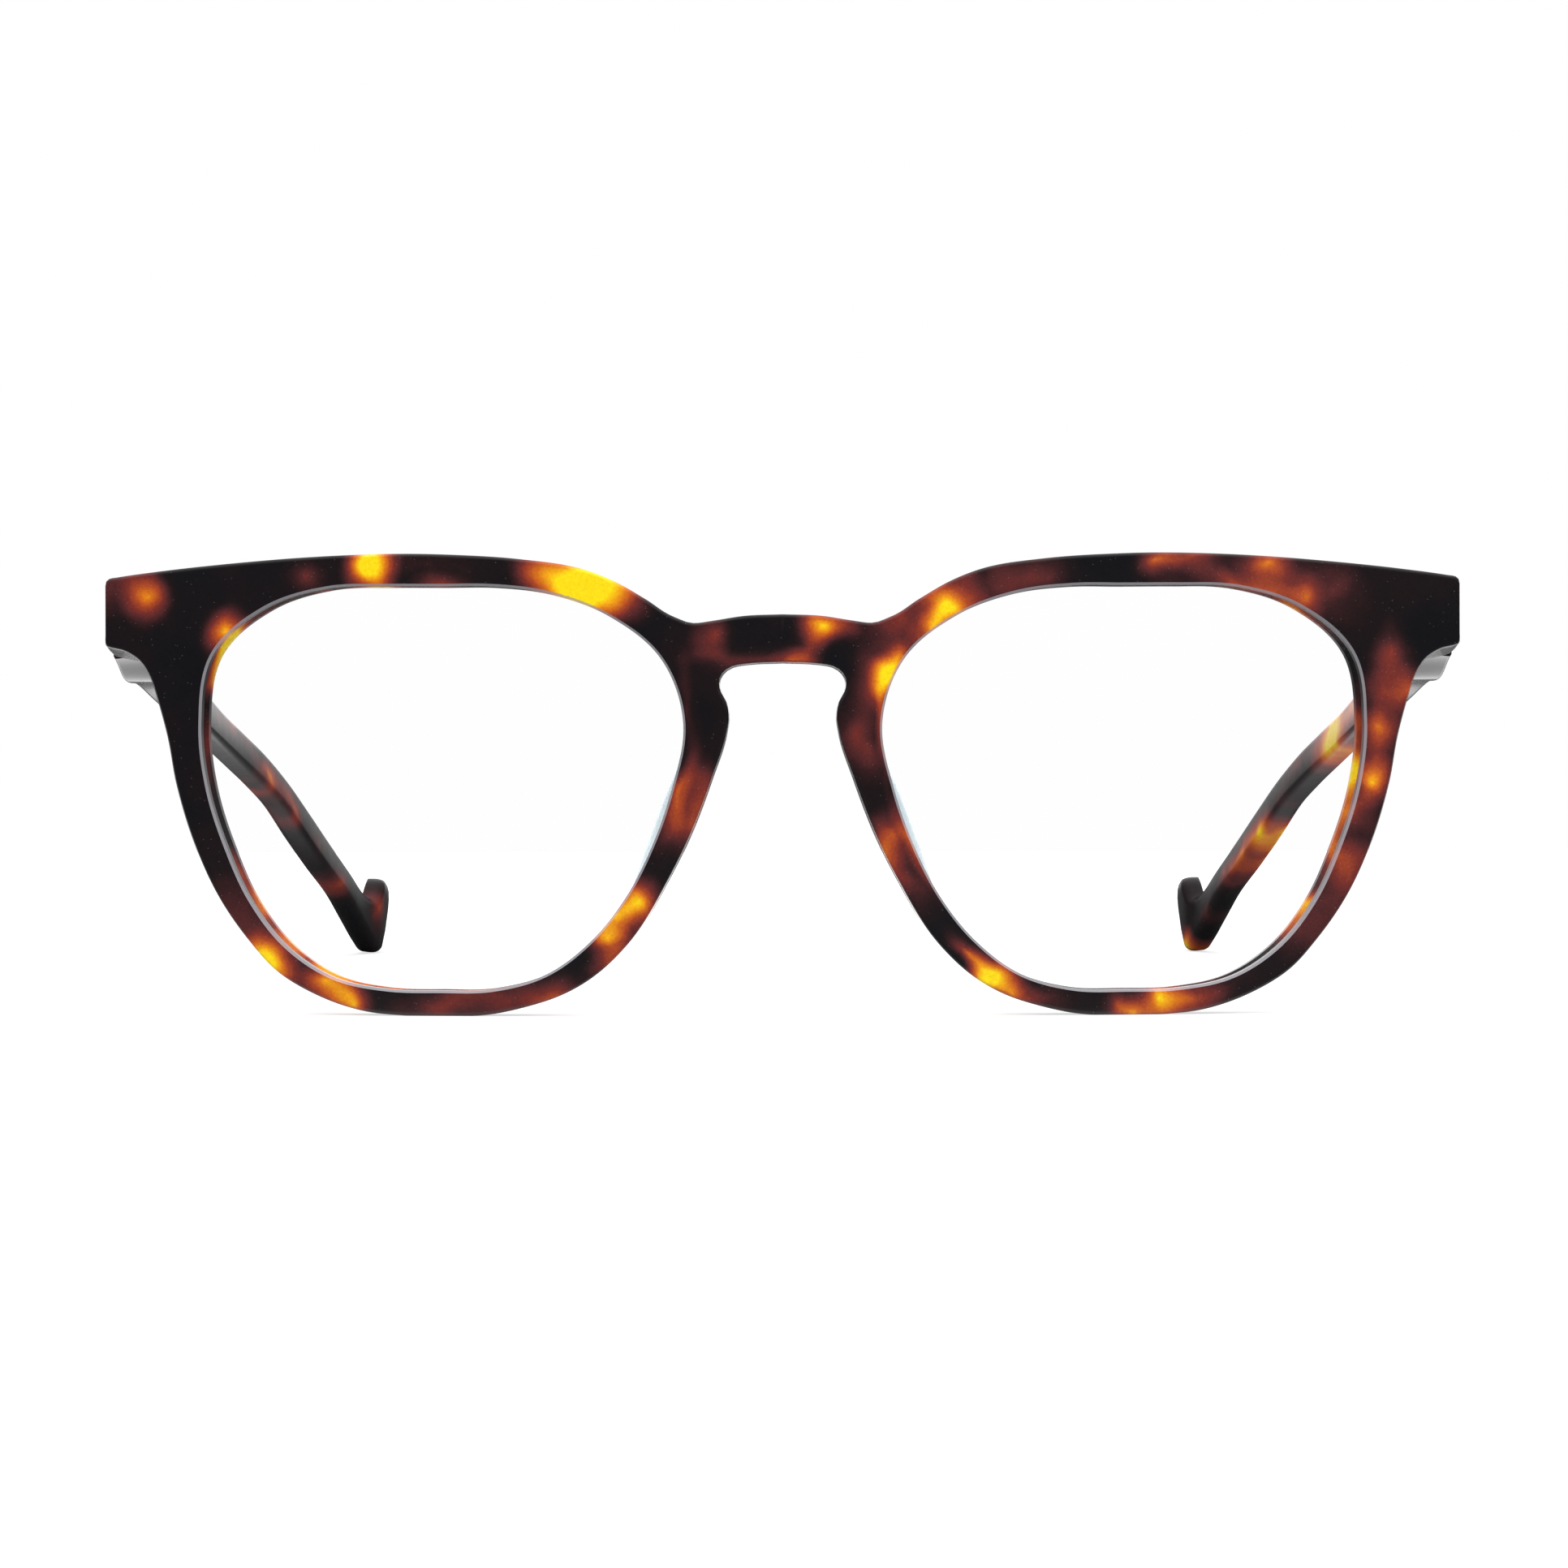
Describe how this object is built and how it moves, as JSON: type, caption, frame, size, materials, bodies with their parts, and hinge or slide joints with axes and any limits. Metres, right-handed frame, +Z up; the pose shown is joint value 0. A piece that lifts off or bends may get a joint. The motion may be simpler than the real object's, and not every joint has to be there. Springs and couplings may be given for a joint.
{
  "type": "spectacles",
  "caption": "Full-rim tortoiseshell acetate spectacles with a keyhole bridge, clear lenses and folding temples on barrel hinges with hooked tips.",
  "frame": {"origin": "middle of the open spectacles' footprint, on the surface that the rims and temple tips stand on", "axes": "+X towards the wearer's left, +Y back along the temples towards the ears, +Z up; the front faces -Y"},
  "size_m": [0.146, 0.1454, 0.049],
  "materials": {
    "tortoise_acetate": "matte tumbled cellulose acetate, dark brown with amber and red blotches",
    "pad_acetate": "pale clear acetate, satin polish, bonded to the front",
    "clear_lens": "clear, polished, no tint",
    "hinge_steel": "satin nickel silver",
    "screw_steel": "bright turned steel",
    "wire_steel": "drawn wire"
  },
  "bodies": {
    "front": {"front_frame": "tortoise_acetate", "lens_right": "clear_lens", "lens_left": "clear_lens", "nose_pad_right": "pad_acetate", "nose_pad_left": "pad_acetate", "front_hinge_right": "hinge_steel", "front_hinge_left": "hinge_steel", "hinge_screw_right": "screw_steel", "hinge_screw_left": "screw_steel"},
    "right_temple": {"temple_right": "tortoise_acetate", "temple_hinge_right": "hinge_steel", "core_wire_right": "wire_steel"},
    "left_temple": {"temple_left": "tortoise_acetate", "temple_hinge_left": "hinge_steel", "core_wire_left": "wire_steel"}
  },
  "joints": [
    {"name": "fold_left", "type": "hinge", "parent": "front", "child": "left_temple", "pos_m": [0.06739, -0.06156, 0.0423], "axis": [0, 0, 1], "range_deg": [0, 86]},
    {"name": "fold_right", "type": "hinge", "parent": "front", "child": "right_temple", "pos_m": [-0.06739, -0.06156, 0.0423], "axis": [0, 0, -1], "range_deg": [0, 81]}
  ]
}
